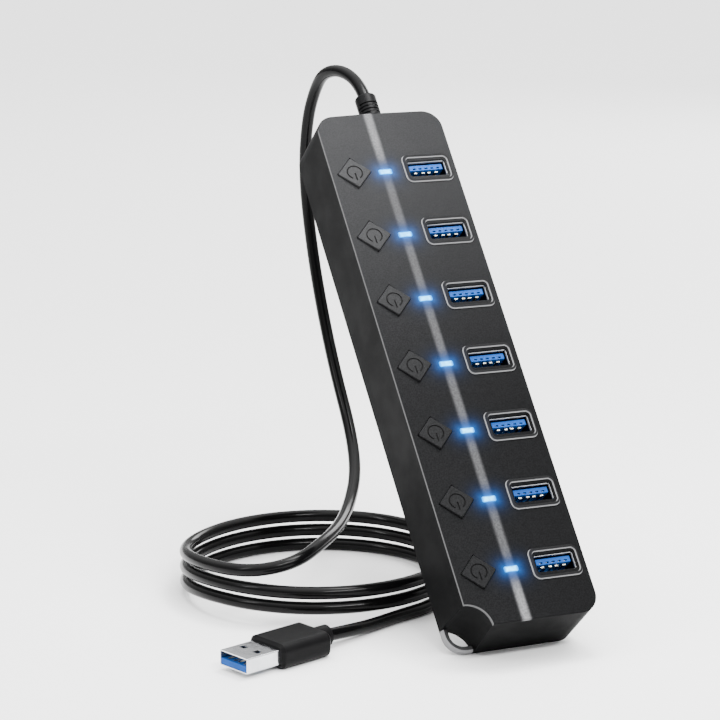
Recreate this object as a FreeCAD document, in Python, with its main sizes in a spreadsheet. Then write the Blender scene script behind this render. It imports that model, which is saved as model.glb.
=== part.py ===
"""Seven-port USB hub with a switch and a light beside each socket, and a captive cord.

The hub is modelled in its own hub frame: X across it, Y along it from the lanyard end to
the cord end, Z out of the face that carries the sockets, with the back on Z = 0.  A tilt
then leans it back on its bottom edge, so that in the part's frame +Z is up and the cord's
coil and the plug lie on the same floor.  Millimetres throughout.
"""
import FreeCAD, Part
import Sketcher
import math
import os
import re
from FreeCAD import Placement, Rotation, Vector

os.makedirs("parts", exist_ok=True)
doc = FreeCAD.newDocument("usb_hub")

# --------------------------------------------------------------------------------------
# Driving dimensions
# --------------------------------------------------------------------------------------
DIMENSIONS = {
    # housing
    "hub_width": 42.2, "hub_length": 174.0, "hub_depth": 21.1,
    "ridge_rise": 0.6, "ridge_offset": -3.0, "ridge_half": 1.5,
    "corner_radius": 6.0, "wall": 2.0, "edge_round": 0.35, "edge_chamfer": 0.3,
    "lean_angle": 41.05,
    # lanyard notch and loop
    "notch_back": 8.2, "notch_draft": 0.0545, "loop_width": 2.0, "loop_height": 2.6,
    "loop_bevel": 0.8, "loop_taper": -32.0,
    # back cover
    "cover_inset": 1.2, "cover_thick": 1.9,
    # rows of sockets, lights and switches
    "row_first": 152.8, "row_pitch": 22.7, "row_count": 7,
    "socket_offset": 11.5, "socket_rise": 0.2, "light_offset": -3.25, "light_drop": 0.4,
    "button_offset": -13.5,
    # raised frame round a socket
    "frame_offset": 11.2, "frame_width": 16.2, "frame_height": 9.9, "frame_radius": 2.2,
    "frame_rise": 0.5, "frame_round": 0.38, "basin_shift": 0.25, "basin_width": 14.0,
    "basin_height": 7.5, "basin_radius": 1.3, "basin_drop": 0.05, "mouth_width": 12.7,
    "mouth_height": 5.4, "mouth_radius": 0.6, "mouth_chamfer": 0.35, "seat_width": 13.4,
    "seat_height": 6.0, "seat_top": 20.55,
    # socket shell, type A receptacle
    "shell_width": 13.1, "shell_height": 5.72, "shell_wall": 0.3, "shell_top": 20.45,
    "tongue_width": 11.1, "tongue_thick": 1.8, "tongue_gap": 0.72, "tongue_top": 19.8,
    # board
    "board_bottom": 4.8, "board_thick": 1.6, "board_width": 37.4,
    "board_start": 2.8, "board_length": 165.2,
    # light pipes
    "pipe_width": 4.5, "pipe_height": 1.86, "pipe_round": 0.6, "slot_width": 4.64,
    "slot_height": 2.0,
    # buttons
    "button_side": 7.8, "button_gap": 0.15, "button_round": 0.5, "button_low": 0.15,
    "button_slope": 4.1, "face_slope": 1.9, "flange_side": 9.6, "flange_half": 5.55,
    "flange_bottom": 17.9,
    "flange_thick": 1.0, "symbol_radius": 2.55, "symbol_line": 0.34, "symbol_depth": 0.15,
    "case_side": 7.0, "case_height": 8.0, "plunger_side": 2.9, "plunger_bottom": 9.4,
    "plunger_top": 19.5,
    # posts and screws
    "post_radius": 2.5, "bore_radius": 1.1, "head_radius": 2.1,
    # cord and strain relief
    "boot_offset": 2.5, "boot_height": 12.1, "boot_radius": 3.4, "boot_end": 185.8,
    "collar_start": 182.5, "groove_pitch": 1.15, "groove_width": 0.45, "groove_depth": 0.45,
    "groove_count": 7, "web_half": 1.0, "cord_start": 182.5, "cord_diameter": 3.9,
    # coil, on the floor behind the hub
    "coil_x": -29.3, "coil_y": 27.8, "coil_radius": 41.5, "coil_pitch": 4.75,
    "coil_first": -152.0, "coil_turned": 987.5, "coil_steps": 39, "coil_ramp": 75.0,
    # plug
    "plug_x": -83.0, "plug_y": -38.0, "plug_turn": -71.1, "grip_width": 15.8,
    "grip_thick": 7.6, "grip_start": 12.1, "grip_end": 31.5, "neck_end": 35.4,
    "neck_radius": 3.2, "grip_round": 2.6, "plug_width": 12.1, "plug_height": 4.6,
    "plug_wall": 0.3, "plug_depth": 2.5,
}

# Screw posts, in the hub frame.
POSTS = [(-14.0, 163.0), (14.0, 163.0), (-3.0, 96.05), (-6.0, 6.6), (14.0, 6.6)]

# The free cord from the strain relief to the coil, by hand, in the part's frame.
DROP_ROUTE = [
    (2.5, 61.74, 145.62), (2.5, 67.0, 151.66), (-0.2, 75.9, 155.6), (-2.7, 85.0, 153.9),
    (-2.8, 92.5, 147.5), (-3.6, 97.5, 137.0), (-3.6, 100.5, 119.0), (-2.6, 98.0, 98.0),
    (-1.6, 92.0, 77.0), (-1.1, 81.0, 55.5), (-1.6, 66.5, 38.0), (-6.6, 51.0, 28.5),
    (-16.1, 35.0, 22.5), (-27.1, 18.0, 21.5), (-38.1, 5.0, 21.5), (-48.6, -2.5, 19.5),
    (-59.1, -1.0, 17.5),
]
# The last stretch, from the coil to the back of the plug.
LEAD_ROUTE = [(-19.5, -13.0, 1.95), (-31.5, -18.4, 2.0), (-41.9, -23.7, 3.1), (-50.4, -26.8, 3.8)]

sheet = doc.addObject("Spreadsheet::Sheet", "Dims")
for row, (alias, amount) in enumerate(DIMENSIONS.items(), start=1):
    sheet.set(f"A{row}", alias)
    sheet.set(f"B{row}", str(amount))
    sheet.setAlias(f"B{row}", alias)
doc.recompute()


def dim(alias):
    """The value of one cell of the sheet."""
    return float(getattr(sheet, alias))


def formula(text):
    """An expression on the sheet, written with the bare names of its cells."""
    def cell(match):
        return "Dims." + match.group() if match.group() in DIMENSIONS else match.group()
    return re.sub(r"[a-z][a-z_]*", cell, text)


def bind(thing, **sizes):
    """Drive properties of an object from the sheet; Placement_Base_x means Placement.Base.x."""
    for name, text in sizes.items():
        thing.setExpression(name.replace("_Base_", ".Base."), formula(text))


# --------------------------------------------------------------------------------------
# Frames
# --------------------------------------------------------------------------------------
LEAN = math.radians(dim("lean_angle"))
FACE_HEIGHT = dim("hub_depth") + dim("ridge_rise")
# The lowest line is the foot of the chamfer on the bottom back edge, and the middle of the
# hub's depth on the floor is the origin.
HUB_BASE = Vector(0,
                  -(dim("hub_length") * math.sin(LEAN) - FACE_HEIGHT * math.cos(LEAN)) / 2,
                  -dim("edge_chamfer") * math.sin(LEAN))
HUB = Placement(HUB_BASE, Rotation(Vector(1, 0, 0), 90 - dim("lean_angle")))
PLUG = Placement(Vector(dim("plug_x"), dim("plug_y"), 0), Rotation(Vector(0, 0, 1), dim("plug_turn")))
ROWS = [dim("row_first") - number * dim("row_pitch") for number in range(int(dim("row_count")))]
nodes = []


def keep(thing, label, place=HUB):
    """Name a finished sub-part and put it where it belongs."""
    thing.Label = label
    thing.Placement = place
    nodes.append(thing)
    return thing


def tilted(x, y, z, normal):
    """A placement at a point, with its Z axis along a normal."""
    return Placement(Vector(x, y, z), Rotation(Vector(0, 0, 1), normal))


# --------------------------------------------------------------------------------------
# PartDesign helpers
# --------------------------------------------------------------------------------------
def new_body(name):
    return doc.addObject("PartDesign::Body", name)


def origin_plane(body, role):
    return next(feature for feature in body.Origin.OriginFeatures if feature.Role == role)


def new_sketch(body, name, role="XY_Plane", offset=Placement()):
    sketch = body.newObject("Sketcher::SketchObject", name)
    sketch.AttachmentSupport = (origin_plane(body, role), [""])
    sketch.MapMode = "FlatFace"
    sketch.AttachmentOffset = offset
    return sketch


def extrude(body, sketch, kind, length, upward=True):
    """Pad or pocket a sketch along its normal (upward) or against it, checking that it acts."""
    feature = body.newObject("PartDesign::" + kind, sketch.Name + kind)
    feature.Profile = sketch
    feature.Reversed = upward if kind == "Pocket" else not upward
    before = body.Shape.Volume if body.Shape and not body.Shape.isNull() else 0.0
    bind(feature, Length=length)
    doc.recompute()
    change = body.Shape.Volume - before
    if (kind == "Pad") != (change > 0) or abs(change) < 1e-6:
        raise RuntimeError(f"{feature.Name} changes the volume by {change:.3f}")
    return feature


def rounded_rectangle(sketch, x, y, width, height, radius):
    """Four lines and four corner arcs round a centre, joined and tangent."""
    half_w, half_h = width / 2, height / 2
    corners = [(x + half_w, y + half_h, 0), (x - half_w, y + half_h, 90),
               (x - half_w, y - half_h, 180), (x + half_w, y - half_h, 270)]
    first = sketch.GeometryCount
    arcs = []
    for corner_x, corner_y, start in corners:
        towards = Vector(math.copysign(radius, x - corner_x), math.copysign(radius, y - corner_y), 0)
        circle = Part.Circle(Vector(corner_x, corner_y, 0) + towards, Vector(0, 0, 1), radius)
        arcs.append(Part.ArcOfCircle(circle, math.radians(start), math.radians(start + 90)))
    for number, arc in enumerate(arcs):
        sketch.addGeometry(arc)
        sketch.addGeometry(Part.LineSegment(arc.EndPoint, arcs[(number + 1) % 4].StartPoint))
    for number in range(4):
        arc, line = first + 2 * number, first + 2 * number + 1
        following = first + (2 * number + 2) % 8
        sketch.addConstraint(Sketcher.Constraint("Coincident", arc, 2, line, 1))
        sketch.addConstraint(Sketcher.Constraint("Coincident", line, 2, following, 1))


def diamond(sketch, x, y, side):
    """A square on its corner."""
    reach = side / math.sqrt(2)
    points = [Vector(x + reach, y, 0), Vector(x, y + reach, 0),
              Vector(x - reach, y, 0), Vector(x, y - reach, 0)]
    polygon(sketch, points)


def polygon(sketch, points):
    first = sketch.GeometryCount
    count = len(points)
    for number, point in enumerate(points):
        sketch.addGeometry(Part.LineSegment(point, points[(number + 1) % count]))
    for number in range(count):
        sketch.addConstraint(Sketcher.Constraint(
            "Coincident", first + number, 2, first + (number + 1) % count, 1))


def circle(sketch, x, y, radius, cell):
    """A circle whose radius is driven by a cell."""
    index = sketch.addGeometry(Part.Circle(Vector(x, y, 0), Vector(0, 0, 1), radius))
    name = f"radius{index}"
    sketch.addConstraint(Sketcher.Constraint("Radius", index, radius))
    sketch.renameConstraint(sketch.ConstraintCount - 1, name)
    sketch.setExpression(f"Constraints.{name}", formula(cell))


def chosen_edges(shape, wanted):
    """Names of the edges that a test accepts."""
    return [f"Edge{number}" for number, edge in enumerate(shape.Edges, start=1) if wanted(edge)]


def dress(body, kind, size, wanted):
    """Fillet or chamfer the chosen edges of a body's tip."""
    base = body.Tip
    names = chosen_edges(base.Shape, wanted)
    feature = body.newObject("PartDesign::" + kind, f"{body.Name}{kind}{len(body.Group)}")
    feature.Base = (base, names)
    bind(feature, **{"Radius" if kind == "Fillet" else "Size": size})
    doc.recompute()
    return feature


def is_upright(edge, x_reach):
    """A straight edge along Z on one of the two side walls."""
    ends = edge.Vertexes
    return (len(ends) == 2 and abs(ends[0].X - ends[1].X) < 1e-4 and abs(ends[0].Y - ends[1].Y) < 1e-4
            and abs(abs(ends[0].X) - x_reach) < 1e-4)


def cavity_outline(sketch, inset, notch):
    """The hub's outline moved in, with a concave arc round the lanyard notch."""
    half = dim("hub_width") / 2 - inset
    near, far = inset, dim("hub_length") - inset
    radius = dim("corner_radius") - inset
    corner = Vector(-dim("hub_width") / 2, 0, 0)
    reach = math.sqrt(notch ** 2 - inset ** 2)
    low_arc_end = Vector(corner.x + reach, near, 0)
    side_arc_end = Vector(-half, reach, 0)
    start, end = math.atan2(near, reach), math.atan2(reach, inset)
    sketch.addGeometry(Part.ArcOfCircle(Part.Circle(corner, Vector(0, 0, 1), notch), start, end))
    sketch.addGeometry(Part.LineSegment(side_arc_end, Vector(-half, far - radius, 0)))
    corners = [(-half + radius, far - radius, 90), (half - radius, far - radius, 0),
               (half - radius, near + radius, 270)]
    arcs = [Part.ArcOfCircle(Part.Circle(Vector(x, y, 0), Vector(0, 0, 1), radius),
                             math.radians(angle), math.radians(angle + 90)) for x, y, angle in corners]
    sketch.addGeometry(arcs[0])
    sketch.addGeometry(Part.LineSegment(arcs[0].StartPoint, arcs[1].EndPoint))
    sketch.addGeometry(arcs[1])
    sketch.addGeometry(Part.LineSegment(arcs[1].StartPoint, arcs[2].EndPoint))
    sketch.addGeometry(arcs[2])
    sketch.addGeometry(Part.LineSegment(arcs[2].StartPoint, low_arc_end))


# --------------------------------------------------------------------------------------
# Housing
# --------------------------------------------------------------------------------------
def face_height(x):
    """Height of the roof-shaped face above the back, at one place across the hub."""
    half, ridge = dim("hub_width") / 2, dim("ridge_offset")
    run = half + ridge if x < ridge else half - ridge
    return dim("hub_depth") + dim("ridge_rise") * (1 - abs(x - ridge) / run)


def add_section(body):
    """The cross-section, a box with a shallow rounded ridge along its face."""
    half, ridge = dim("hub_width") / 2, dim("ridge_offset")
    sketch = new_sketch(body, "Section", "XZ_Plane")
    side = dim("hub_depth")
    left = Vector(ridge - dim("ridge_half"), face_height(ridge - dim("ridge_half")), 0)
    right = Vector(ridge + dim("ridge_half"), face_height(ridge + dim("ridge_half")), 0)
    crown = Vector(ridge, (left.y + right.y) / 2 + 0.02, 0)
    points = [left, Vector(-half, side, 0), Vector(-half, 0, 0), Vector(half, 0, 0),
              Vector(half, side, 0), right]
    for start, end in zip(points, points[1:]):
        sketch.addGeometry(Part.LineSegment(start, end))
    sketch.addGeometry(Part.Arc(right, crown, left))
    for number in range(4):
        sketch.addConstraint(Sketcher.Constraint("Coincident", number, 2, number + 1, 1))
    for name, kind, line, size in (("across", "DistanceX", 2, "hub_width"),
                                   ("deep", "DistanceY", 3, "hub_depth")):
        sketch.addConstraint(Sketcher.Constraint(kind, line, 1, line, 2, dim(size)))
        sketch.renameConstraint(sketch.ConstraintCount - 1, name)
        sketch.setExpression("Constraints." + name, formula(size))
    extrude(body, sketch, "Pad", "hub_length", upward=False)


def add_notch_and_loop(body):
    """The drafted quarter-round notch through one corner, and the lanyard loop across it."""
    half = dim("hub_width") / 2
    below, above = 1.0, 24.0
    cone = body.newObject("PartDesign::SubtractiveCone", "Notch")
    cone.Placement = Placement(Vector(-half, 0, -below), Rotation())
    bind(cone, Radius1=f"notch_back + notch_draft * {below}",
         Radius2=f"notch_back - notch_draft * {above}", Height=f"{below + above}")
    doc.recompute()
    straight = dim("loop_height") - dim("loop_bevel")
    sketch = new_sketch(body, "Loop")
    loop_outline(sketch)
    extrude(body, sketch, "Pad", "loop_height - loop_bevel")
    sketch = new_sketch(body, "LoopTop", offset=Placement(Vector(0, 0, straight), Rotation()))
    loop_outline(sketch)
    top = extrude(body, sketch, "Pad", "loop_bevel")
    bind(top, TaperAngle="loop_taper")
    doc.recompute()


def loop_outline(sketch):
    """A band round the corner of the hub, its ends inside the wall of the notch."""
    half = dim("hub_width") / 2
    radius, width = dim("corner_radius"), dim("loop_width")
    reach = dim("notch_back") + 0.9
    centre = Vector(-half + radius, radius, 0)
    outer = Part.ArcOfCircle(Part.Circle(centre, Vector(0, 0, 1), radius), math.pi, 1.5 * math.pi)
    inner = Part.ArcOfCircle(Part.Circle(centre, Vector(0, 0, 1), radius - width), math.pi, 1.5 * math.pi)
    sketch.addGeometry(outer)
    sketch.addGeometry(inner)
    points = [outer.StartPoint, Vector(-half, reach, 0), Vector(-half + width, reach, 0), inner.StartPoint]
    for start, end in zip(points, points[1:]):
        sketch.addGeometry(Part.LineSegment(start, end))
    points = [outer.EndPoint, Vector(-half + reach, 0, 0), Vector(-half + reach, width, 0), inner.EndPoint]
    for start, end in zip(points, points[1:]):
        sketch.addGeometry(Part.LineSegment(start, end))


def on_face_rim(edge):
    """An edge of the face's outline, the notch's arc included."""
    middle = edge.valueAt((edge.FirstParameter + edge.LastParameter) / 2)
    if middle.z < dim("hub_depth") - 0.5:
        return False
    half = dim("hub_width") / 2
    along_ridge = abs(middle.x - dim("ridge_offset")) < 2 * dim("ridge_half") and 1 < middle.y < 170
    upright = abs(edge.Vertexes[0].Z - edge.Vertexes[-1].Z) > 1.5
    inside = abs(middle.x) < half - 12 and 12 < middle.y < dim("hub_length") - 12
    return not (along_ridge or upright or inside)


def on_back_rim(edge):
    """An edge of the outline of the back."""
    middle = edge.valueAt((edge.FirstParameter + edge.LastParameter) / 2)
    corner = hasattr(edge.Curve, "Radius") and abs(edge.Curve.Radius - dim("corner_radius")) < 1e-3
    side = abs(abs(middle.x) - dim("hub_width") / 2) < 1e-3
    end = min(abs(middle.y), abs(middle.y - dim("hub_length"))) < 1e-3
    return abs(middle.z) < 1e-3 and (corner or side or end)


def make_upper_housing():
    body = new_body("UpperHousing")
    add_section(body)
    half, length = dim("hub_width") / 2, dim("hub_length")
    dress(body, "Fillet", "corner_radius", lambda edge: is_upright(edge, half))
    add_notch_and_loop(body)
    dress(body, "Fillet", "edge_round", on_face_rim)
    dress(body, "Chamfer", "edge_chamfer", on_back_rim)

    sketch = new_sketch(body, "Rebate")
    cavity_outline(sketch, dim("cover_inset") - 0.1, dim("notch_back") + 1.0)
    extrude(body, sketch, "Pocket", "cover_thick + 0.1")
    sketch = new_sketch(body, "Cavity")
    cavity_outline(sketch, dim("wall"), dim("notch_back") + dim("wall"))
    extrude(body, sketch, "Pocket", "hub_depth - wall")

    # A rounded bead stands round every socket, with a shallow basin inside it and a narrow
    # lip over the rim of the socket's shell.
    sketch = new_sketch(body, "Frames", offset=over_face(-0.6))
    for y in ROWS:
        rounded_rectangle(sketch, 0, y, dim("frame_width"), dim("frame_height"), dim("frame_radius"))
    extrude(body, sketch, "Pad", "frame_rise + 0.6")
    dress(body, "Fillet", "frame_round", lambda edge: on_rim(edge, "frame", dim("frame_rise")))
    sketch = new_sketch(body, "Basins", offset=over_face(-dim("basin_drop")))
    for y in ROWS:
        rounded_rectangle(sketch, dim("basin_shift"), y,
                          dim("basin_width"), dim("basin_height"), dim("basin_radius"))
    extrude(body, sketch, "Pocket", "2")
    dress(body, "Fillet", "frame_round", lambda edge: on_rim(edge, "basin", dim("frame_rise")))
    sketch = new_sketch(body, "Mouths")
    for y in ROWS:
        rounded_rectangle(sketch, dim("socket_offset"), y + dim("socket_rise"),
                          dim("mouth_width"), dim("mouth_height"), dim("mouth_radius"))
    extrude(body, sketch, "Pocket", "hub_depth + 3")
    dress(body, "Chamfer", "mouth_chamfer", lambda edge: on_rim(edge, "mouth", -dim("basin_drop")))
    sketch = new_sketch(body, "ShellSeats")
    for y in ROWS:
        rounded_rectangle(sketch, dim("socket_offset"), y + dim("socket_rise"),
                          dim("seat_width"), dim("seat_height"), dim("mouth_radius"))
    extrude(body, sketch, "Pocket", "seat_top")

    sketch = new_sketch(body, "Slots")
    for y in ROWS:
        rounded_rectangle(sketch, dim("light_offset"), y - dim("light_drop"),
                          dim("slot_width"), dim("slot_height"), dim("pipe_round"))
    extrude(body, sketch, "Pocket", "hub_depth + 3")
    sketch = new_sketch(body, "ButtonHoles")
    for y in ROWS:
        diamond(sketch, dim("button_offset"), y, dim("button_side") + 2 * dim("button_gap"))
    extrude(body, sketch, "Pocket", "hub_depth + 3")

    sketch = new_sketch(body, "Posts", offset=Placement(Vector(0, 0, dim("cover_thick") + 0.1), Rotation()))
    for x, y in POSTS:
        circle(sketch, x, y, dim("post_radius"), "post_radius")
    extrude(body, sketch, "Pad", "hub_depth - wall - cover_thick + 0.4")
    sketch = new_sketch(body, "Bores", offset=Placement(Vector(0, 0, dim("cover_thick")), Rotation()))
    for x, y in POSTS:
        circle(sketch, x, y, dim("bore_radius"), "bore_radius + 0.05")
    extrude(body, sketch, "Pocket", "8")

    hole = body.newObject("PartDesign::SubtractiveCylinder", "CordHole")
    hole.Placement = Placement(Vector(dim("boot_offset"), length + 1, dim("boot_height")),
                               Rotation(Vector(1, 0, 0), 90))
    bind(hole, Radius="boot_radius - 0.45", Height="wall + 2")
    doc.recompute()
    keep(body, "upper_housing")


def over_face(rise):
    """A sketch plane along the socket side of the face, so far above it."""
    slope = math.atan2(dim("ridge_rise"), dim("hub_width") / 2 - dim("ridge_offset"))
    offset = dim("frame_offset")
    return tilted(offset, 0, face_height(offset) + rise, Vector(math.sin(slope), 0, math.cos(slope)))


def on_rim(edge, outline, rise):
    """An edge round the sockets, inside one outline and at one height above the face."""
    middle = edge.valueAt((edge.FirstParameter + edge.LastParameter) / 2)
    centre = dim("frame_offset") + (0 if outline == "frame" else dim("basin_shift"))
    across = abs(middle.x - centre)
    along = min(abs(middle.y - y) for y in ROWS)
    slack = 0.25
    return (across < dim(outline + "_width") / 2 + slack
            and along < dim(outline + "_height") / 2 + slack
            and abs(middle.z - face_height(middle.x) - rise) < 0.03
            and abs(edge.Vertexes[0].Z - edge.Vertexes[-1].Z) < 0.4)


def make_back_cover():
    body = new_body("BackCover")
    sketch = new_sketch(body, "CoverOutline")
    cavity_outline(sketch, dim("cover_inset"), dim("notch_back") + 1.1)
    extrude(body, sketch, "Pad", "cover_thick")
    sketch = new_sketch(body, "HeadSeats")
    for x, y in POSTS:
        circle(sketch, x, y, dim("head_radius"), "head_radius + 0.1")
    extrude(body, sketch, "Pocket", "1")
    sketch = new_sketch(body, "ScrewHoles")
    for x, y in POSTS:
        circle(sketch, x, y, dim("bore_radius"), "bore_radius + 0.2")
    extrude(body, sketch, "Pocket", "cover_thick + 1")
    keep(body, "back_cover")


def make_screws():
    """Five self-tapping screws with crossed recesses."""
    solids = []
    for x, y in POSTS:
        head = Part.makeCylinder(dim("head_radius"), 0.9, Vector(x, y, 0.1))
        shank = Part.makeCylinder(dim("bore_radius"), 8.0, Vector(x, y, 0.9))
        screw = head.fuse(shank)
        for turn in (0, 90):
            blade = Part.makeBox(2.2, 0.5, 0.5, Vector(-1.1, -0.25, 0))
            blade.Placement = Placement(Vector(x, y, 0), Rotation(Vector(0, 0, 1), turn))
            screw = screw.cut(blade)
        solids.append(screw.removeSplitter())
    group = doc.addObject("Part::Feature", "Screws")
    group.Shape = Part.makeCompound(solids)
    keep(group, "housing_screws")


# --------------------------------------------------------------------------------------
# Board and what stands on it
# --------------------------------------------------------------------------------------
BOARD_TOP = "(board_bottom + board_thick)"


def primitive(kind, name, base=("0", "0", "0"), **sizes):
    """A Part primitive whose sizes and corner are driven by the sheet."""
    thing = doc.addObject("Part::" + kind, name)
    bind(thing, **sizes)
    bind(thing, Placement_Base_x=base[0], Placement_Base_y=base[1], Placement_Base_z=base[2])
    return thing


def box(name, base, length, width, height):
    return primitive("Box", name, base, Length=length, Width=width, Height=height)


def joined(kind, name, first, second):
    """A boolean of two objects: Cut, Fuse or Common."""
    result = doc.addObject("Part::" + kind, name)
    result.Base, result.Tool = first, second
    return result


def fused(name, things):
    result = doc.addObject("Part::MultiFuse", name)
    result.Shapes = things
    result.Refine = True
    return result


def rounded(name, base, radius, wanted):
    """A Part fillet on the chosen edges."""
    doc.recompute()
    result = doc.addObject("Part::Fillet", name)
    result.Base = base
    numbers = [int(edge[4:]) for edge in chosen_edges(base.Shape, wanted)]
    result.Edges = [(number, radius, radius) for number in numbers]
    return result


def runs_along(edge, axis):
    """A straight edge along one of the axes 0, 1 or 2."""
    if len(edge.Vertexes) != 2:
        return False
    step = edge.Vertexes[1].Point - edge.Vertexes[0].Point
    return abs(abs(step[axis]) - step.Length) < 1e-6


def make_board():
    body = new_body("Board")
    base = Placement(Vector(0, 0, dim("board_bottom")), Rotation())
    sketch = new_sketch(body, "BoardOutline", offset=base)
    middle = dim("board_start") + dim("board_length") / 2
    rounded_rectangle(sketch, 0, middle, dim("board_width"), dim("board_length"), 3.0)
    extrude(body, sketch, "Pad", "board_thick")
    sketch = new_sketch(body, "BoardHoles", offset=base)
    for x, y in POSTS:
        circle(sketch, x, y, dim("post_radius"), "post_radius + 0.3")
    extrude(body, sketch, "Pocket", "board_thick + 1")
    corner = body.newObject("PartDesign::SubtractiveCylinder", "BoardCorner")
    corner.Placement = Placement(Vector(-dim("hub_width") / 2, 0, dim("board_bottom") - 1), Rotation())
    bind(corner, Radius="notch_back + wall + 0.6", Height="board_thick + 2")
    doc.recompute()
    keep(body, "main_board")


def make_socket(number, y):
    """A folded steel shell with two spring windows in each long side, and its tongue."""
    tag = str(number)
    x, y = "socket_offset", y + dim("socket_rise")
    outer = box("ShellOuter" + tag, (f"{x} - shell_width / 2", f"{y} - shell_height / 2", BOARD_TOP),
                "shell_width", "shell_height", f"shell_top - {BOARD_TOP}")
    outer = rounded("ShellRound" + tag, outer, 0.5, lambda edge: runs_along(edge, 2))
    inner = box("ShellInner" + tag,
                (f"{x} - shell_width / 2 + shell_wall", f"{y} - shell_height / 2 + shell_wall",
                 f"{BOARD_TOP} - 1"),
                "shell_width - 2 * shell_wall", "shell_height - 2 * shell_wall", "shell_top")
    windows = [box(f"Window{tag}_{side}", (f"{x} + {side} * 3.3 - 1", f"{y} - shell_height", "11.5"),
                   "2", "2 * shell_height", "5.5") for side in (-1, 1)]
    hollow = joined("Cut", "ShellHollow" + tag, outer, inner)
    for window in windows:
        hollow = joined("Cut", window.Name + "Cut", hollow, window)
    keep(hollow, f"port_shell_{tag}")

    block = box("TongueBlock" + tag, (f"{x} - 6.22", f"{y} - 2.54", f"{BOARD_TOP} + 0.2"),
                "12.44", "5.08", "3")
    plate = box("TonguePlate" + tag,
                (f"{x} - tongue_width / 2", f"{y} + shell_height / 2 - shell_wall - tongue_gap - tongue_thick",
                 f"{BOARD_TOP} + 2"),
                "tongue_width", "tongue_thick", f"tongue_top - {BOARD_TOP} - 2")
    tongue = fused("TongueBase" + tag, [block, plate])
    for slot in range(5):
        groove = box(f"TongueSlot{tag}_{slot}",
                     (f"{x} + {(slot - 2) * 2.0} - 0.5",
                      f"{y} + shell_height / 2 - shell_wall - tongue_gap - tongue_thick + 0.35",
                      "tongue_top - 1.2"), "1", "0.5", "2")
        tongue = joined("Cut", groove.Name + "Cut", tongue, groove)
    keep(tongue, f"port_tongue_{tag}")


def make_port_contacts():
    """Four flat and five short contacts on every tongue."""
    under = dim("shell_height") / 2 - dim("shell_wall") - dim("tongue_gap") - dim("tongue_thick")
    solids = []
    for y in ROWS:
        low = y + dim("socket_rise") + under
        for place in (-3.5, -1.0, 1.0, 3.5):
            x = dim("socket_offset") + place - 0.5
            strip = Part.makeBox(1.0, 0.25, 9.2, Vector(x, low - 0.25, 9.6))
            tip = Part.makeCylinder(0.38, 1.0, Vector(x, low - 0.38, 18.7), Vector(1, 0, 0))
            solids.append(strip.fuse(tip))
        for slot in range(5):
            x = dim("socket_offset") + (slot - 2) * 2.0 - 0.3
            solids.append(Part.makeBox(0.6, 0.3, 0.5, Vector(x, low + 0.45, dim("tongue_top") - 1.2)))
    group = doc.addObject("Part::Feature", "PortContacts")
    group.Shape = Part.makeCompound(solids)
    keep(group, "port_contacts")


def make_light_pipe(number, y):
    """A clear pipe with a rounded window, a collar under the face and a narrow foot."""
    tag, x, y = str(number), "light_offset", y - dim("light_drop")
    head = box("PipeHead" + tag, (f"{x} - pipe_width / 2", f"{y} - pipe_height / 2", "18"),
               "pipe_width", "pipe_height", "hub_depth + ridge_rise - 18")
    head = rounded("PipeRound" + tag, head, dim("pipe_round"), lambda edge: runs_along(edge, 2))
    collar = box("PipeCollar" + tag, (f"{x} - pipe_width / 2 - 0.5", f"{y} - pipe_height / 2 - 0.5", "18"),
                 "pipe_width + 1", "pipe_height + 1", "1")
    foot = box("PipeFoot" + tag, (f"{x} - 1.4", f"{y} - 0.8", "7.4"), "2.8", "1.6", "11")
    keep(fused("Pipe" + tag, [head, collar, foot]), f"light_pipe_{tag}")


def on_board(label, places, piece):
    """One node holding the same small part at several places on the board."""
    group = doc.addObject("Part::Feature", label.title().replace("_", ""))
    group.Shape = Part.makeCompound([piece(Vector(x, y, 0)) for x, y in places])
    keep(group, label)


def make_small_parts():
    top = dim("board_bottom") + dim("board_thick")
    below = dim("board_bottom")
    between = [y - dim("row_pitch") / 2 for y in ROWS[:-1]]
    on_board("indicator_leds", [(dim("light_offset"), y - dim("light_drop")) for y in ROWS],
             lambda at: Part.makeBox(1.6, 0.8, 0.7, at + Vector(-0.8, -0.4, top)))
    on_board("hub_controllers", [(2.0, 130.0), (2.0, 60.0)],
             lambda at: Part.makeBox(9.0, 9.0, 0.9, at + Vector(-4.5, -4.5, below - 0.9)))
    on_board("crystals", [(dim("light_offset"), between[0]), (dim("light_offset"), between[4])],
             lambda at: Part.makeBox(4.4, 11.0, 3.2, at + Vector(-2.2, -5.5, top)))
    on_board("capacitors", [(dim("socket_offset"), y) for y in between],
             lambda at: Part.makeCylinder(2.5, 7.0, at + Vector(0, 0, top)))


# --------------------------------------------------------------------------------------
# Switches and buttons
# --------------------------------------------------------------------------------------
def make_switch(number, y):
    """A push switch: a case with a square bore, and the plunger that slides in it."""
    tag, x = str(number), "button_offset"
    case = box("Case" + tag, (f"{x} - case_side / 2", f"{y} - case_side / 2", BOARD_TOP),
               "case_side", "case_side", "case_height")
    bore = box("CaseBore" + tag,
               (f"{x} - plunger_side / 2 - 0.1", f"{y} - plunger_side / 2 - 0.1", f"{BOARD_TOP} + 1.6"),
               "plunger_side + 0.2", "plunger_side + 0.2", "case_height")
    keep(joined("Cut", "SwitchCase" + tag, case, bore), f"switch_case_{tag}")
    plunger = box("Plunger" + tag, (f"{x} - plunger_side / 2", f"{y} - plunger_side / 2", "plunger_bottom"),
                  "plunger_side", "plunger_side", "plunger_top - plunger_bottom")
    plunger = rounded("PlungerRound" + tag, plunger, 0.15, lambda edge: runs_along(edge, 2))
    keep(plunger, f"switch_plunger_{tag}")


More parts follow.
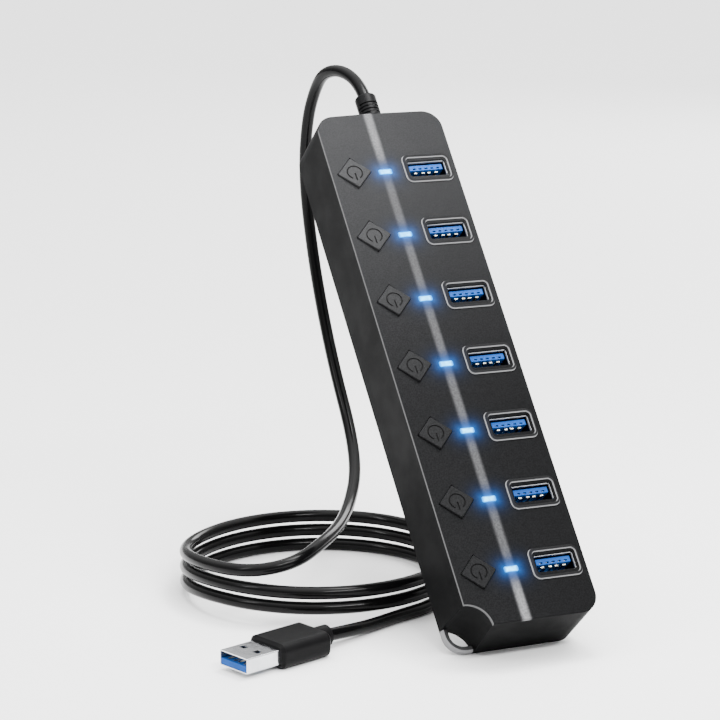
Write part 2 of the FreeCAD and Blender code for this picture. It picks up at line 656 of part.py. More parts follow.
def make_button(number, y):
    """A square cap on its corner, its top sloping up towards the lower corner, with an
    engraved ring and stroke; a flange under the face, cut short beside the walls, stops it
    coming out."""
    tag, x = str(number), dim("button_offset")
    body = new_body("Button" + tag)
    level = Placement(Vector(0, 0, dim("flange_bottom")), Rotation())
    sketch = new_sketch(body, f"Flange{tag}", offset=level)
    tip, half = dim("flange_side") / math.sqrt(2), dim("flange_half")
    outline = [(half, tip - half), (0, tip), (-half, tip - half), (-half, half - tip), (0, -tip),
               (half, half - tip)]
    polygon(sketch, [Vector(x + across, y + along, 0) for across, along in outline])
    extrude(body, sketch, "Pad", "flange_thick")
    sketch = new_sketch(body, f"Cap{tag}", offset=level)
    diamond(sketch, x, y, dim("button_side"))
    extrude(body, sketch, "Pad", "6")
    reach = dim("button_side") / math.sqrt(2)
    dress(body, "Fillet", "button_round",
          lambda edge: runs_along(edge, 2) and edge.Vertexes[0].Z + edge.Vertexes[1].Z > 40)

    across, along = math.tan(math.radians(dim("face_slope"))), math.tan(math.radians(dim("button_slope")))
    top = tilted(x, y, face_height(x) + dim("button_low") + along * reach, Vector(-across, along, 1))
    sketch = new_sketch(body, f"Top{tag}", offset=top)
    rounded_rectangle(sketch, 0, 0, 30, 30, 1)
    extrude(body, sketch, "Pocket", "10")
    dress(body, "Fillet", "button_round / 2", lambda edge: on_plane(edge, top))

    sketch = new_sketch(body, f"Symbol{tag}", offset=top)
    outer, inner = dim("symbol_radius"), dim("symbol_radius") - dim("symbol_line")
    gap = math.radians(28)
    start, end = -math.pi / 2 + gap, 1.5 * math.pi - gap
    rings = [Part.ArcOfCircle(Part.Circle(Vector(0, 0, 0), Vector(0, 0, 1), radius), start, end)
             for radius in (outer, inner)]
    for ring in rings:
        sketch.addGeometry(ring)
    sketch.addGeometry(Part.LineSegment(rings[0].StartPoint, rings[1].StartPoint))
    sketch.addGeometry(Part.LineSegment(rings[0].EndPoint, rings[1].EndPoint))
    rounded_rectangle(sketch, 0, -1.55, dim("symbol_line"), 2.7, dim("symbol_line") / 2 - 0.02)
    extrude(body, sketch, "Pocket", "symbol_depth", upward=False)

    sketch = new_sketch(body, f"Seat{tag}", offset=level)
    rounded_rectangle(sketch, x, y, dim("plunger_side"), dim("plunger_side"), 0.05)
    extrude(body, sketch, "Pocket", "plunger_top - flange_bottom")
    keep(body, f"button_cap_{tag}")


def on_plane(edge, place):
    """Whether both ends and the middle of an edge lie on the XY plane of a placement."""
    middle = edge.valueAt((edge.FirstParameter + edge.LastParameter) / 2)
    points = [middle] + [vertex.Point for vertex in edge.Vertexes]
    return all(abs(place.inverse().multVec(point).z) < 1e-4 for point in points)


# --------------------------------------------------------------------------------------
# Strain relief
# --------------------------------------------------------------------------------------
def make_strain_relief():
    """A ribbed sleeve held in the end wall by an inner flange, bored for the cord."""
    body = new_body("StrainRelief")
    sketch = new_sketch(body, "SleeveProfile")
    length, wall = dim("hub_length"), dim("wall")
    radius, end = dim("boot_radius"), dim("boot_end")
    inside = length - wall
    neck = radius - 0.5
    points = [(0, inside - 1.8), (radius + 0.9, inside - 1.8), (radius + 0.9, inside - 0.1),
              (neck, inside - 0.1), (neck, length + 0.1), (radius, length + 0.1)]
    grooves = [dim("collar_start") - dim("groove_width") - dim("groove_pitch") * number
               for number in reversed(range(int(dim("groove_count"))))]
    deep, open_width = dim("groove_depth"), dim("groove_width")
    for y in grooves:
        points += [(radius, y), (radius - deep, y + 0.08), (radius - deep, y + open_width - 0.08),
                   (radius, y + open_width)]
    bore = dim("cord_diameter") / 2 + 0.02
    points += [(radius, end - 0.5), (radius - 0.2, end - 0.12), (radius - 0.6, end),
               (bore, end), (bore, dim("cord_start")), (0, dim("cord_start"))]
    polygon(sketch, [Vector(x, y, 0) for x, y in points])
    turned = body.newObject("PartDesign::Revolution", "Sleeve")
    turned.Profile = sketch
    turned.ReferenceAxis = (sketch, ["V_Axis"])
    turned.Angle = 360
    doc.recompute()
    # Two webs interrupt every groove, turned by a quarter from one groove to the next.
    half = dim("web_half")
    reach = math.sqrt(radius ** 2 - half ** 2) - 0.03
    for name, start, across, deep in (("WebsAcross", 0, reach, half), ("WebsDeep", 1, half, reach)):
        sketch = new_sketch(body, name, offset=Placement(Vector(0, 0, -deep), Rotation()))
        for y in grooves[start::2]:
            low, high = y - 0.1, y + open_width + 0.1
            polygon(sketch, [Vector(-across, low, 0), Vector(across, low, 0),
                             Vector(across, high, 0), Vector(-across, high, 0)])
        extrude(body, sketch, "Pad", f"{2 * deep}")
    keep(body, "strain_relief", HUB * Placement(Vector(dim("boot_offset"), 0, dim("boot_height")), Rotation()))


# --------------------------------------------------------------------------------------
# Plug, on the floor, in the plug frame: Y from its mouth towards the cord, Z up
# --------------------------------------------------------------------------------------
def make_plug():
    base = "(grip_thick - plug_height) / 2"
    shell = box("PlugOuter", ("-plug_width / 2", "0", base),
                "plug_width", "grip_start + plug_depth", "plug_height")
    shell = rounded("PlugRound", shell, 0.35, lambda edge: runs_along(edge, 1))
    inside = box("PlugInner", ("-plug_width / 2 + plug_wall", "-1", f"{base} + plug_wall"),
                 "plug_width - 2 * plug_wall", "grip_start + plug_depth + 2", "plug_height - 2 * plug_wall")
    hollow = joined("Cut", "PlugHollow", shell, inside)
    for side in (-1, 1):
        window = box(f"PlugWindow{side + 1}", (f"{side} * 2.95 - 1.1", "5.4", "-1"),
                     "2.2", "2", "grip_thick + 2")
        hollow = joined("Cut", window.Name + "Cut", hollow, window)
    keep(hollow, "plug_shell", PLUG)

    insert = box("PlugInsert", ("-plug_width / 2 + plug_wall + 0.02", "0.15", f"{base} + plug_wall + 0.02"),
                 "plug_width - 2 * plug_wall - 0.04", "grip_start + plug_depth - 0.6", "1.85")
    insert = rounded("PlugInsertRound", insert, 0.2, lambda edge: runs_along(edge, 1))
    keep(insert, "plug_insulator", PLUG)

    top = (dim("grip_thick") - dim("plug_height")) / 2 + dim("plug_wall") + 0.02 + 1.85
    pads = [Part.makeBox(1.0, 7.4, 0.12, Vector(x - 0.5, 1.0, top)) for x in (-3.5, -1.0, 1.0, 3.5)]
    pads += [Part.makeBox(0.6, 1.6, 0.5, Vector(x - 0.3, 9.4, top)) for x in (-4.0, -2.0, 0.0, 2.0, 4.0)]
    group = doc.addObject("Part::Feature", "PlugPads")
    group.Shape = Part.makeCompound(pads)
    keep(group, "plug_contacts", PLUG)

    block = box("GripBlock", ("-grip_width / 2", "grip_start", "0"), "grip_width",
                "grip_end - grip_start", "grip_thick")
    block = rounded("GripRound", block, dim("grip_round"), lambda edge: runs_along(edge, 1))
    doc.recompute()
    ends = doc.addObject("Part::Chamfer", "GripEnds")
    ends.Base = block
    front, back = dim("grip_start"), dim("grip_end")
    sizes = []
    for number, edge in enumerate(block.Shape.Edges, start=1):
        y = edge.CenterOfMass.y
        if abs(y - front) < 1e-6:
            sizes.append((number, 0.9, 0.9))
        elif abs(y - back) < 1e-6:
            sizes.append((number, 1.6, 1.6))
    ends.Edges = sizes
    neck = primitive("Cylinder", "GripNeck", ("0", "grip_end - 1", "grip_thick / 2"),
                     Radius="neck_radius", Height="neck_end - grip_end + 1")
    neck.Placement.Rotation = Rotation(Vector(1, 0, 0), -90)
    solid = fused("GripSolid", [ends, neck])
    seat = box("GripSeat", ("-plug_width / 2", "grip_start - 1", base),
               "plug_width", "plug_depth + 1", "plug_height")
    keep(joined("Cut", "Grip", solid, seat), "plug_grip", PLUG)


# --------------------------------------------------------------------------------------
# Cord
# --------------------------------------------------------------------------------------
def coil_point(turned):
    """A route point of the coil, after turning so many degrees clockwise from its start.
    Each turn drops by one pitch over its first stretch and is level for the rest."""
    angle = math.radians(dim("coil_first") - turned)
    step = dim("coil_turned") / dim("coil_steps")
    reach = dim("coil_radius") / math.cos(math.radians(step / 2))
    height = dim("cord_diameter") / 2 + 3 * dim("coil_pitch")
    for turn in range(3):
        part = min(max((turned - 360 * turn) / dim("coil_ramp"), 0), 1)
        height -= dim("coil_pitch") * part * part * (3 - 2 * part)
    return (dim("coil_x") + reach * math.cos(angle), dim("coil_y") + reach * math.sin(angle), height)


def cord_tube(label, route):
    """A tube along straight runs joined by the largest tangent arcs that they allow."""
    points = [Vector(*point) for point in route]
    edges, radii, start = [], [], points[0]
    for before, corner, after in zip(points, points[1:], points[2:]):
        back, ahead = (before - corner), (after - corner)
        reach = 0.45 * min(back.Length, ahead.Length)
        back.normalize()
        ahead.normalize()
        half_turn = (math.pi - back.getAngle(ahead)) / 2
        radius = reach / math.tan(half_turn)
        radii.append(radius)
        first, last = corner + back * reach, corner + ahead * reach
        inward = (back + ahead).normalize()
        middle = corner + inward * (radius / math.cos(half_turn) - radius)
        edges.append(Part.LineSegment(start, first).toShape())
        edges.append(Part.Arc(first, middle, last).toShape())
        start = last
    edges.append(Part.LineSegment(start, points[-1]).toShape())
    path = Part.Wire(edges)
    ring = Part.makeCircle(dim("cord_diameter") / 2, points[0], points[1] - points[0])
    solid = path.makePipeShell([Part.Wire(ring)], True, False)
    section = math.pi * dim("cord_diameter") ** 2 / 4
    print(f"{label}: length {path.Length:.1f}, volume / (section x length) "
          f"{solid.Volume / (section * path.Length):.4f}, least radius {min(radii):.1f}")
    print("  radii", [round(radius, 1) for radius in radii])
    tube = doc.addObject("Part::Feature", label)
    tube.Shape = solid
    keep(tube, label, Placement())
    return path.Length


def make_coil():
    """The outer shape of the coil, a ring as thick as the cord."""
    half = dim("cord_diameter") / 2
    centre = ("coil_x", "coil_y", "0")
    height = "cord_diameter + 2 * coil_pitch"
    outer = primitive("Cylinder", "CoilOuter", centre, Radius="coil_radius + cord_diameter / 2", Height=height)
    inner = primitive("Cylinder", "CoilInner", centre, Radius="coil_radius - cord_diameter / 2", Height=height)
    ring = rounded("CoilRound", joined("Cut", "CoilRing", outer, inner), half / 2,
                   lambda edge: len(edge.Vertexes) == 1)
    keep(ring, "cord_coil", ring.Placement)


# --------------------------------------------------------------------------------------
# Build, check and write
# --------------------------------------------------------------------------------------
make_upper_housing()
make_back_cover()
make_screws()
make_board()
make_port_contacts()
make_small_parts()
for position, row_y in enumerate(ROWS, start=1):
    make_socket(position, row_y)
    make_light_pipe(position, row_y)
    make_switch(position, row_y)
    make_button(position, row_y)
make_strain_relief()
make_plug()
make_coil()
coil_step = dim("coil_turned") / dim("coil_steps")
drop_length = cord_tube("cord_run", DROP_ROUTE + [coil_point(coil_step * step) for step in range(4)])
last_turns = [coil_point(dim("coil_turned") - coil_step * step) for step in (2, 1, 0)]
lead_length = cord_tube("cord_lead", last_turns + LEAD_ROUTE)
coil_length = dim("coil_radius") * math.radians(dim("coil_turned"))
print(f"cord: {drop_length:.0f} + {coil_length:.0f} + {lead_length:.0f}, less the stretches inside the coil")

doc.recompute()
for thing in doc.Objects:
    if "Invalid" in thing.State or "Error" in thing.State:
        raise RuntimeError(f"{thing.Name} ({thing.Label}) failed: {thing.State}")
for thing in nodes:
    if thing.Shape.isNull() or not thing.Shape.isValid():
        raise RuntimeError(f"{thing.Label} has no valid shape")
for thing in nodes:
    thing.Shape.exportStep(f"parts/{thing.Label}.step")
print(len(nodes), "nodes written")
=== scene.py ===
"""Looks of the seven-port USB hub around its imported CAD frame.  Metres, in the part's frame."""
import math

import bpy
from mathutils import Matrix, Vector


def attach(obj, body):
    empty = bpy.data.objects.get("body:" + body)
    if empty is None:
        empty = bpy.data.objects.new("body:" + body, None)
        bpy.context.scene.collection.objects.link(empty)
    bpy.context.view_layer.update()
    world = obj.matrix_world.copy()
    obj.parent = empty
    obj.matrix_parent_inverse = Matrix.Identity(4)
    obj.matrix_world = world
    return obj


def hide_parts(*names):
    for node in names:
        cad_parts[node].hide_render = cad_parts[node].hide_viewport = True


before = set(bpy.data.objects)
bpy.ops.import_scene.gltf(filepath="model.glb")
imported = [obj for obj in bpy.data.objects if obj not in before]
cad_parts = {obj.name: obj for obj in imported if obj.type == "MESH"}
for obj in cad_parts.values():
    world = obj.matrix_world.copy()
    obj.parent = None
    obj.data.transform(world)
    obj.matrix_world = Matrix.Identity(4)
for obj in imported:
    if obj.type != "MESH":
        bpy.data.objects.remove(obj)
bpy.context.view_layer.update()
MM = 0.001

# --------------------------------------------------------------------------------------
# Camera: long lens, low and to the left of the hub, at the reference angle
# --------------------------------------------------------------------------------------
CAMERA_PLACE = (-0.35671, -0.76594, 0.27245)
CAMERA_LOOK = (0.3851, 0.8947, -0.2261)
CAMERA_ROLL = -0.22
camera_data = bpy.data.cameras.new("camera")
camera_data.lens = 143.24
camera_data.sensor_width = 36.0
camera_data.clip_start = 0.01
camera_data.clip_end = 20.0
camera = bpy.data.objects.new("camera", camera_data)
camera.location = CAMERA_PLACE
level = Vector(CAMERA_LOOK).to_track_quat("-Z", "Y").to_matrix()
camera.rotation_euler = (level @ Matrix.Rotation(math.radians(CAMERA_ROLL), 3, "Z")).to_euler()
bpy.context.scene.collection.objects.link(camera)
bpy.context.scene.camera = camera

# --------------------------------------------------------------------------------------
# Cord: one line from the strain relief, over and down behind the hub, round the coil and
# out to the plug
# --------------------------------------------------------------------------------------
CORD_DIAMETER = 3.9 * MM
DROP_ROUTE = [
    (2.5, 61.74, 145.62), (2.5, 67.0, 151.66), (-0.2, 75.9, 155.6), (-2.7, 85.0, 153.9),
    (-2.8, 92.5, 147.5), (-3.6, 97.5, 137.0), (-3.6, 100.5, 119.0), (-2.6, 98.0, 98.0),
    (-1.6, 92.0, 77.0), (-1.1, 81.0, 55.5), (-1.6, 66.5, 38.0), (-6.6, 51.0, 28.5),
    (-16.1, 35.0, 22.5), (-27.1, 18.0, 21.5), (-38.1, 5.0, 21.5), (-48.6, -2.5, 19.5),
    (-59.1, -1.0, 17.5),
]
LEAD_ROUTE = [(-19.5, -13.0, 1.95), (-31.5, -18.4, 2.0), (-41.9, -23.7, 3.1), (-50.4, -26.8, 3.8)]
COIL_CENTRE = (-29.3, 27.8)
COIL_RADIUS = 41.5
COIL_PITCH = 4.75
COIL_FIRST = -152.0
COIL_TURNED = 987.5
COIL_STEPS = 39
COIL_RAMP = 75.0


def coil_point(turned):
    """A route point of the coil, in millimetres, after turning so many degrees clockwise."""
    angle = math.radians(COIL_FIRST - turned)
    reach = COIL_RADIUS / math.cos(math.radians(COIL_TURNED / COIL_STEPS / 2))
    height = CORD_DIAMETER / MM / 2 + 3 * COIL_PITCH
    for turn in range(3):
        part = min(max((turned - 360 * turn) / COIL_RAMP, 0), 1)
        height -= COIL_PITCH * part * part * (3 - 2 * part)
    return (COIL_CENTRE[0] + reach * math.cos(angle), COIL_CENTRE[1] + reach * math.sin(angle), height)


def make_cord():
    """The cord as one smooth curve through its route, from the strain relief to the plug."""
    route = list(DROP_ROUTE)
    route += [coil_point(COIL_TURNED * step / COIL_STEPS) for step in range(COIL_STEPS + 1)]
    route += LEAD_ROUTE
    data = bpy.data.curves.new("cord", "CURVE")
    data.dimensions = "3D"
    spline = data.splines.new("NURBS")
    spline.points.add(len(route) - 1)
    for point, place in zip(spline.points, route):
        point.co = (*(value * MM for value in place), 1.0)
        # The curve's box grows by its points' radius, so that carries the cord's thickness.
        point.radius = CORD_DIAMETER / 2
    spline.order_u = 3
    spline.use_endpoint_u = True
    spline.resolution_u = 12
    data.bevel_depth = 1.0
    data.bevel_resolution = 8
    data.use_fill_caps = True
    cord = bpy.data.objects.new("cord", data)
    bpy.context.scene.collection.objects.link(cord)
    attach(cord, "hub")
    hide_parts("cord_run", "cord_coil", "cord_lead")
    return cord


cord = make_cord()


# --------------------------------------------------------------------------------------
# Material helpers
# --------------------------------------------------------------------------------------
# The share of Blender's noise that most of its surface lies in, for soft and for fine noise.
PATCHES = (0.3, 0.7)
GRAIN = (0.35, 0.65)


class Shader:
    """A material with one Principled shader, and short ways to add nodes to it."""

    def __init__(self, name, color, roughness, **sockets):
        self.material = bpy.data.materials.new(name)
        self.material.use_nodes = True
        self.tree = self.material.node_tree
        self.bsdf = self.tree.nodes["Principled BSDF"]
        self.color, self.roughness = color, roughness
        self.bsdf.inputs["Base Color"].default_value = (*color, 1)
        self.bsdf.inputs["Roughness"].default_value = roughness
        for name, value in sockets.items():
            self.bsdf.inputs[name.replace("_", " ")].default_value = value

    def node(self, kind, **settings):
        """A new shader node of this kind."""
        made = self.tree.nodes.new("ShaderNode" + kind)
        for name, value in settings.items():
            setattr(made, name, value)
        return made

    def link(self, value, socket):
        """Feed a socket from another socket or from a constant."""
        if isinstance(value, bpy.types.NodeSocket):
            self.tree.links.new(value, socket)
        else:
            socket.default_value = value

    def math(self, operation, *values):
        """One operation on numbers."""
        made = self.node("Math", operation=operation)
        for number, value in enumerate(values):
            self.link(value, made.inputs[number])
        return made.outputs[0]

    def product(self, first, *others):
        """Numbers multiplied together."""
        for other in others:
            first = self.math("MULTIPLY", first, other)
        return first

    def distance(self, across, along):
        """The length of a line from its two parts."""
        squares = [self.math("POWER", part, 2.0) for part in (across, along)]
        return self.math("SQRT", self.math("ADD", *squares))

    def place(self):
        """Position in the part's frame, in metres."""
        return self.node("TexCoord").outputs["Object"]

    def noise(self, size, detail=2.0, rough=0.5):
        """Noise with features about size metres across, from 0 to 1."""
        made = self.node("TexNoise")
        self.link(self.place(), made.inputs["Vector"])
        made.inputs["Scale"].default_value = 1 / size
        made.inputs["Detail"].default_value = detail
        made.inputs["Roughness"].default_value = rough
        return made.outputs["Fac"]

    def ramp(self, value, low, high, first=0.0, last=1.0):
        """Map low..high to first..last smoothly."""
        made = self.node("MapRange", interpolation_type="SMOOTHSTEP")
        for number, amount in enumerate((value, low, high, first, last)):
            self.link(amount, made.inputs[number])
        return made.outputs[0]

    def mix(self, share, first, second):
        """The first colour where the share is 0, the second where it is 1."""
        made = self.node("Mix", data_type="RGBA")
        self.link(share, made.inputs["Factor"])
        colors = [socket for socket in made.inputs if socket.type == "RGBA"]
        for socket, value in zip(colors, (first, second)):
            self.link(value if isinstance(value, bpy.types.NodeSocket) else (*value, 1), socket)
        return next(socket for socket in made.outputs if socket.type == "RGBA")

    def scaled(self, color, amount):
        """A colour multiplied by a number."""
        made = self.node("VectorMath", operation="SCALE")
        self.link(color, made.inputs[0])
        self.link(amount, made.inputs["Scale"])
        return made.outputs[0]

    def bump(self, height, distance):
        """Raise and sink the surface by a height from 0 to 1."""
        made = self.node("Bump")
        made.inputs["Distance"].default_value = distance
        self.link(height, made.inputs["Height"])
        self.link(made.outputs[0], self.bsdf.inputs["Normal"])

    def tone(self, amount, size):
        """Vary the colour in soft patches by a share of itself."""
        dark = [channel * (1 - amount) for channel in self.color]
        light = [channel * (1 + amount) for channel in self.color]
        patches = self.ramp(self.noise(size, detail=4.0), *PATCHES)
        color = self.mix(patches, dark, light)
        self.link(color, self.bsdf.inputs["Base Color"])
        return color

    def wear(self, amount, size):
        """Vary the roughness in soft patches."""
        patches = self.noise(size, detail=3.0)
        self.link(self.ramp(patches, *PATCHES, self.roughness - amount, self.roughness + amount),
                  self.bsdf.inputs["Roughness"])


def moulded(name, color, roughness, grain=0.25 * MM, depth=0.012 * MM, **sockets):
    """Moulded plastic: spark-eroded grain, faint tone and gloss variation."""
    shader = Shader(name, color, roughness, **sockets)
    shader.tone(0.08, 6 * MM)
    shader.wear(0.04, 9 * MM)
    shader.bump(shader.noise(grain, detail=3.0, rough=0.6), depth)
    return shader


def each_row(name):
    """The CAD nodes of one kind, one for each row of sockets."""
    return [f"{name}_{number}" for number in NUMBERS]


def dress(shader, *names):
    """Give a material to CAD nodes or pieces."""
    for name in names:
        thing = bpy.data.objects[name] if isinstance(name, str) else name
        thing.data.materials.clear()
        thing.data.materials.append(shader.material)


# --------------------------------------------------------------------------------------
# The hub's own coordinates, which its materials follow
# --------------------------------------------------------------------------------------
NUMBERS = range(1, 8)
LEAN = math.radians(41.05)
HUB_LENGTH, HUB_HALF_WIDTH, CREST_HEIGHT = 174.0 * MM, 21.1 * MM, 21.7 * MM
EDGE_CHAMFER = 0.3 * MM
# The face falls away from its crest by 0.6 mm over the 24.1 mm to its right edge.
FACE_FALL = 0.6 / 24.1
# The middle of the leaning hub's depth on the floor is the frame's origin.
HUB_BASE = Vector((0, -(HUB_LENGTH * math.sin(LEAN) - CREST_HEIGHT * math.cos(LEAN)) / 2,
                   -EDGE_CHAMFER * math.sin(LEAN)))
HUB = Matrix.Translation(HUB_BASE) @ Matrix.Rotation(math.pi / 2 - LEAN, 4, "X")
RIDGE_X, LIGHT_X, BUTTON_X = -3.0 * MM, -3.25 * MM, -13.5 * MM
ROW_LAST, ROW_PITCH, LIGHT_DROP = 16.6 * MM, 22.7 * MM, 0.4 * MM
ROW_MIDDLE = ROW_LAST + 3 * ROW_PITCH
WINDOW_HALF_WIDTH = 2.3 * MM
WINDOW_HALF_HEIGHT = 0.93 * MM


def hub_coordinates(shader):
    """Across, along and out of the hub's face, in metres, from the part's frame."""
    back = HUB.inverted()
    mapping = shader.node("Mapping", vector_type="POINT")
    mapping.inputs["Location"].default_value = back.translation
    mapping.inputs["Rotation"].default_value = back.to_euler()
    shader.link(shader.place(), mapping.inputs["Vector"])
    split = shader.node("SeparateXYZ")
    shader.link(mapping.outputs[0], split.inputs[0])
    return split.outputs


def row_offset(shader, along):
    """Signed distance along the hub from the nearest row of sockets."""
    row = shader.math("DIVIDE", shader.math("SUBTRACT", along, ROW_LAST), ROW_PITCH)
    last = len(NUMBERS) - 1.0
    nearest = shader.math("MINIMUM", shader.math("MAXIMUM", shader.math("ROUND", row), 0.0), last)
    return shader.math("MULTIPLY", shader.math("SUBTRACT", row, nearest), ROW_PITCH)


def window_offset(shader, along):
    """Signed distance along the hub from the middle of the nearest lit window."""
    return row_offset(shader, shader.math("ADD", along, LIGHT_DROP))


def facing(shader):
    """How far the surface turns left or down along the hub, from 0 to 1."""
    normal = shader.node("NewGeometry").outputs["Normal"]
    downhill = HUB.to_3x3() @ Vector((0, -1, 0))
    amounts = []
    for direction in (Vector((-1, 0, 0)), downhill):
        dot = shader.node("VectorMath", operation="DOT_PRODUCT")
        shader.link(normal, dot.inputs[0])
        shader.link(direction, dot.inputs[1])
        amounts.append(dot.outputs["Value"])
    return shader.ramp(shader.math("MAXIMUM", *amounts), 0.05, 0.7)


# --------------------------------------------------------------------------------------
# Housing
# --------------------------------------------------------------------------------------
# Painted shading of the face, from its darker to its paler end.
FACE_PAINTED_SHADE, FACE_PAINTED_LIGHT = (0.0056, 0.0057, 0.006), (0.0175, 0.0177, 0.0184)
# A painted highlight on the edges of the face.
EDGE_PAINTED_HIGHLIGHT = (0.078, 0.0785, 0.08)
# Shaded and lit copies of one colour, painted on the loop and the beads by the way they face.
LOOP_SHADED, LOOP_LIT = (0.032, 0.032, 0.033), (0.19, 0.19, 0.195)
BEAD_SHADED, BEAD_LIT = (0.009, 0.0091, 0.0094), (0.19, 0.191, 0.195)
# A painted highlight along the crest, at the lower and the upper end of the hub.
CREST_PAINTED_HIGHLIGHT_LOW, CREST_PAINTED_HIGHLIGHT_HIGH = (0.17, 0.17, 0.175), (0.115, 0.115, 0.118)
GLOW = (0.0, 0.24, 1.0)
CREST_HALF_WIDTH = 1.38 * MM
GLOW_REACH = 1.3 * MM


def face_grain_and_painted_shade(shader, across, along):
    """The colour of the face with its grain and painted shading, a little paler towards the cord end and
    the left.
    """
    tone = shader.mix(shader.ramp(along, 60 * MM, 178 * MM), FACE_PAINTED_SHADE, FACE_PAINTED_LIGHT)
    grain = shader.ramp(shader.noise(0.38 * MM, detail=2.0, rough=0.65), *GRAIN, first=-1.0)
    depth = shader.ramp(along, 60 * MM, 150 * MM, first=0.36, last=0.15)
    speckle = shader.math("ADD", shader.product(grain, depth), 1.0)
    right = shader.ramp(across, -20 * MM, 20 * MM, first=1.06, last=0.84)
    return shader.scaled(tone, shader.product(speckle, right))


def edge_highlight_mask(shader, across, out, from_corner):
    """One on the left edge of the face and on the edge of its notch, where a highlight is painted, zero
    beside them.
    """
    side = shader.ramp(across, -20.98 * MM, -20.72 * MM, first=1.0, last=0.0)
    notch = shader.ramp(from_corner, 7.3 * MM, 7.5 * MM, first=1.0, last=0.0)
    return shader.product(shader.ramp(out, 20.7 * MM, 20.9 * MM), shader.math("MAXIMUM", side, notch))


def loop_mask(shader, out, from_corner):
    """One on the lanyard loop, inside the notch and near the back."""
    return shader.product(shader.ramp(from_corner, 7.7 * MM, 7.9 * MM, first=1.0, last=0.0),
                          shader.ramp(out, 2.7 * MM, 2.8 * MM, first=1.0, last=0.0))


def bead_mask(shader, across, out):
    """One on the beads round the sockets, which stand above the face."""
    fall = shader.product(shader.math("SUBTRACT", across, RIDGE_X), -FACE_FALL)
    above = shader.math("SUBTRACT", shader.math("SUBTRACT", out, fall), CREST_HEIGHT)
    return shader.product(shader.ramp(above, 0.06 * MM, 0.2 * MM), shader.ramp(across, 0.0, 1 * MM))


def window_distance(shader, across, along):
    """Distance over the face from the nearest lit window, zero on most of the window."""
    beside = shader.math("ABSOLUTE", window_offset(shader, along))
    sideways = shader.math("ABSOLUTE", shader.math("SUBTRACT", across, LIGHT_X))
    clear_x = shader.math("MAXIMUM", shader.math("SUBTRACT", sideways, WINDOW_HALF_WIDTH), 0.0)
    clear_y = shader.math("MAXIMUM", shader.math("SUBTRACT", beside, 0.8 * MM), 0.0)
    return shader.distance(clear_x, clear_y)


def crest_profile(shader, across):
    """One along the middle of the face's crest, falling to zero at its sides."""
    offset = shader.math("DIVIDE", shader.math("SUBTRACT", across, LIGHT_X), CREST_HALF_WIDTH)
    return shader.math("EXPONENT", shader.product(shader.math("POWER", offset, 4.0), -1.0))


def make_housing_material():
    """Black plastic with painted shading over its face, painted highlights on its edges, loop, beads and
    crest, and a painted glow round the windows.
    """
    shader = moulded("housing", (0.0035, 0.0036, 0.0038), 0.5, depth=0.02 * MM, IOR=1.08)
    across, along, out = hub_coordinates(shader)
    on_face = shader.ramp(out, 20.6 * MM, 21.0 * MM)
    color = shader.bsdf.inputs["Base Color"].links[0].from_socket
    # The face is painted paler than the sides, with painted shading along and across it.
    color = shader.mix(on_face, color, face_grain_and_painted_shade(shader, across, along))
    # Painted highlights: a pale line on the left edge of the face and round its notch, and lit and
    # shaded copies of one colour on the lanyard loop and the beads, lit where they turn left or down
    # along the hub.
    from_corner = shader.distance(shader.math("ADD", across, HUB_HALF_WIDTH), along)
    color = shader.mix(edge_highlight_mask(shader, across, out, from_corner), color, EDGE_PAINTED_HIGHLIGHT)
    turned = facing(shader)
    loop_painted_light = shader.mix(turned, LOOP_SHADED, LOOP_LIT)
    color = shader.mix(loop_mask(shader, out, from_corner), color, loop_painted_light)
    bead_painted_light = shader.mix(turned, BEAD_SHADED, BEAD_LIT)
    color = shader.mix(bead_mask(shader, across, out), color, bead_painted_light)
    # A painted highlight runs along the crest of the face, strongest at its two ends and kept off the
    # windows.
    away = window_distance(shader, across, along)
    profile = crest_profile(shader, across)
    grain = shader.ramp(shader.noise(0.6 * MM, detail=3.0, rough=0.75), *GRAIN, first=0.6)
    from_middle = shader.math("ABSOLUTE", shader.math("SUBTRACT", along, ROW_MIDDLE))
    ends = shader.ramp(from_middle, 66 * MM, 80 * MM, first=0.36, last=0.95)
    clear = shader.ramp(away, 0.3 * MM, 5 * MM, first=0.15)
    crest = shader.product(profile, grain, on_face, ends, clear)
    crest_painted_highlight = shader.mix(shader.ramp(along, 60 * MM, HUB_LENGTH), CREST_PAINTED_HIGHLIGHT_LOW, CREST_PAINTED_HIGHLIGHT_HIGH)
    shader.link(shader.mix(crest, color, crest_painted_highlight), shader.bsdf.inputs["Base Color"])
    # A painted glow spreads over the face round each window, twice as strong on the crest.
    spread = shader.math("EXPONENT", shader.math("DIVIDE", away, -GLOW_REACH))
    caught = shader.math("ADD", shader.product(profile, 0.7), 0.7)
    shader.bsdf.inputs["Emission Color"].default_value = (*GLOW, 1)
    shader.link(shader.product(spread, caught, on_face), shader.bsdf.inputs["Emission Strength"])
    return shader


dress(make_housing_material(), "upper_housing")
dress(moulded("cover", (0.0045, 0.0046, 0.0048), 0.5, depth=0.02 * MM, IOR=1.08), "back_cover")


# --------------------------------------------------------------------------------------
# Buttons and windows
# --------------------------------------------------------------------------------------
RING_RADIUS = 2.38 * MM
STROKE_MIDDLE = -1.55 * MM
# Where the soft side of an engraved line and the soft end of the stroke begin and finish,
# from the middle of the line and of the stroke.
LINE_SIDE = (0.2 * MM, 0.27 * MM)
STROKE_END = (1.35 * MM, 1.42 * MM)
SYMBOL_TONE = (0.0015, 0.0015, 0.0016)
WINDOW_CORE, WINDOW_RIM = (0.2, 0.78, 1.0), (0.0, 0.42, 1.0)


